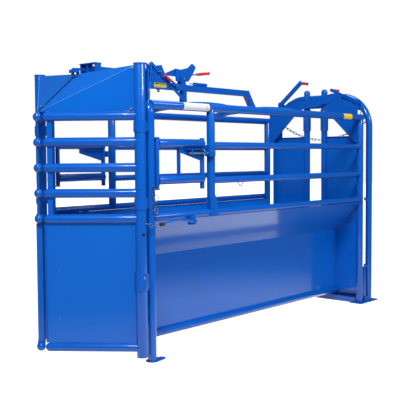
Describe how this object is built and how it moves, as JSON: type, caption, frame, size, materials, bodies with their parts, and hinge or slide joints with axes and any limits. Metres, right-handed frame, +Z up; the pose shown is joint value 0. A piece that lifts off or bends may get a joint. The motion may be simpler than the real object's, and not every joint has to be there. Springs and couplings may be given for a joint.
{
  "type": "roping chute",
  "caption": "Free-standing blue steel roping chute with swinging front gates, V-shaped lower sides, neck doors and a sliding tail gate.",
  "frame": {"origin": "middle of the chute's footprint, on the ground", "axes": "+X towards the tail gate (rear), +Y across the chute, +Z up"},
  "size_m": [3.532, 1.228, 2.1288],
  "materials": {
    "blue_coat": "gloss blue powder coat",
    "grip_red": "satin red vinyl grip",
    "bare_steel": "dull zinc plate"
  },
  "bodies": {
    "chute_frame": {"front_bow": "blue_coat", "rear_bow": "blue_coat", "rear_base": "blue_coat", "tail_header": "blue_coat", "cross_arch_front": "blue_coat", "cross_arch_rear": "blue_coat", "overhead_beam": "blue_coat", "hinge_tie": "blue_coat", "catch_box": "blue_coat", "trip_stand": "blue_coat", "spring_housing": "blue_coat", "diagonal_brace": "blue_coat", "lock_pin": "bare_steel", "rear_chain": "bare_steel", "top_rail_near": "blue_coat", "top_rail_far": "blue_coat", "upper_rail_near": "blue_coat", "upper_rail_far": "blue_coat", "lower_rail_near": "blue_coat", "lower_rail_far": "blue_coat", "mid_post_near": "blue_coat", "mid_post_far": "blue_coat", "rear_post_near": "blue_coat", "rear_post_far": "blue_coat", "side_beam_near": "blue_coat", "side_beam_far": "blue_coat", "base_beam_near": "blue_coat", "base_beam_far": "blue_coat", "side_panel_near": "blue_coat", "side_panel_far": "blue_coat", "door_hinge_near": "blue_coat", "door_hinge_far": "blue_coat", "door_keeper_near": "blue_coat", "door_keeper_far": "blue_coat", "handle_bracket_near": "blue_coat", "handle_bracket_far": "blue_coat"},
    "front_gate_near": {"gate_frame_near": "blue_coat", "gate_sheet_near": "blue_coat", "gate_hood_near": "blue_coat"},
    "door_near": {"neck_door_near": "blue_coat"},
    "bolt_near": {"neck_bolt_near": "bare_steel"},
    "tail_gate_near": {"tail_panel_near": "blue_coat"},
    "tail_arm_near": {"tail_lever_near": "blue_coat", "tail_grip_near": "grip_red"},
    "handle_near": {"side_handle_near": "blue_coat"},
    "front_gate_far": {"gate_frame_far": "blue_coat", "gate_sheet_far": "blue_coat", "gate_hood_far": "blue_coat"},
    "door_far": {"neck_door_far": "blue_coat"},
    "bolt_far": {"neck_bolt_far": "bare_steel"},
    "tail_gate_far": {"tail_panel_far": "blue_coat"},
    "tail_arm_far": {"tail_lever_far": "blue_coat", "tail_grip_far": "grip_red"},
    "handle_far": {"side_handle_far": "blue_coat"},
    "trip": {"trip_lever": "blue_coat", "trip_grip": "grip_red"},
    "rod": {"trip_rod": "blue_coat"},
    "catch": {"catch_bar": "blue_coat"},
    "lock": {"lock_lever": "blue_coat", "lock_grip": "grip_red"}
  },
  "joints": [
    {"name": "gate_swing_near", "type": "hinge", "parent": "chute_frame", "child": "front_gate_near", "pos_m": [-1.31695, -0.535, 1], "axis": [0, 0, 1], "range_deg": [0, 95]},
    {"name": "door_swing_near", "type": "hinge", "parent": "chute_frame", "child": "door_near", "pos_m": [-1.16395, -0.535, 1.331], "axis": [0, 0, -1], "range_deg": [0, 90]},
    {"name": "bolt_slide_near", "type": "slide", "parent": "door_near", "child": "bolt_near", "axis": [-1, 0, 0], "range_m": [0, 0.045]},
    {"name": "tail_slide_near", "type": "slide", "parent": "chute_frame", "child": "tail_gate_near", "axis": [0, -1, 0], "range_m": [0, 0.3]},
    {"name": "tail_lever_turn_near", "type": "hinge", "parent": "chute_frame", "child": "tail_arm_near", "pos_m": [1.62105, -0.43, 1.88], "axis": [1, 0, 0], "range_deg": [0, 80]},
    {"name": "handle_turn_near", "type": "hinge", "parent": "chute_frame", "child": "handle_near", "pos_m": [-0.86595, -0.602, 0.93], "axis": [0, 1, 0], "range_deg": [0, 100]},
    {"name": "gate_swing_far", "type": "hinge", "parent": "chute_frame", "child": "front_gate_far", "pos_m": [-1.31695, 0.535, 1], "axis": [0, 0, -1], "range_deg": [0, 95]},
    {"name": "door_swing_far", "type": "hinge", "parent": "chute_frame", "child": "door_far", "pos_m": [-1.16395, 0.535, 1.331], "axis": [0, 0, 1], "range_deg": [0, 90]},
    {"name": "bolt_slide_far", "type": "slide", "parent": "door_far", "child": "bolt_far", "axis": [-1, 0, 0], "range_m": [0, 0.045]},
    {"name": "tail_slide_far", "type": "slide", "parent": "chute_frame", "child": "tail_gate_far", "axis": [0, 1, 0], "range_m": [0, 0.3]},
    {"name": "tail_lever_turn_far", "type": "hinge", "parent": "chute_frame", "child": "tail_arm_far", "pos_m": [1.62105, 0.457, 1.897], "axis": [-1, 0, 0], "range_deg": [0, 80]},
    {"name": "handle_turn_far", "type": "hinge", "parent": "chute_frame", "child": "handle_far", "pos_m": [-0.86595, 0.602, 0.93], "axis": [0, 1, 0], "range_deg": [0, 100]},
    {"name": "trip_turn", "type": "hinge", "parent": "chute_frame", "child": "trip", "pos_m": [-0.34295, -0.002, 1.994], "axis": [0, 1, 0], "range_deg": [0, 12], "stiffness_Nm_per_rad": 12, "springref_deg": -20.05},
    {"name": "rod_slide", "type": "slide", "parent": "chute_frame", "child": "rod", "axis": [1, 0, 0], "range_m": [0, 0.01]},
    {"name": "catch_turn", "type": "hinge", "parent": "chute_frame", "child": "catch", "pos_m": [-1.30095, 0.021, 1.996], "axis": [0, 1, 0], "range_deg": [0, 28]},
    {"name": "lock_turn", "type": "hinge", "parent": "chute_frame", "child": "lock", "pos_m": [-0.45095, -0.052, 1.93], "axis": [0, 1, 0], "range_deg": [0, 70]}
  ],
  "couplings": [
    {"joint": "tail_lever_turn_near", "follows": "tail_slide_near", "rad_per_m": 4.65},
    {"joint": "tail_lever_turn_far", "follows": "tail_slide_far", "rad_per_m": 4.65},
    {"joint": "rod_slide", "follows": "trip_turn", "m_per_rad": 0.0476},
    {"joint": "catch_turn", "follows": "trip_turn", "ratio": 2.3}
  ]
}
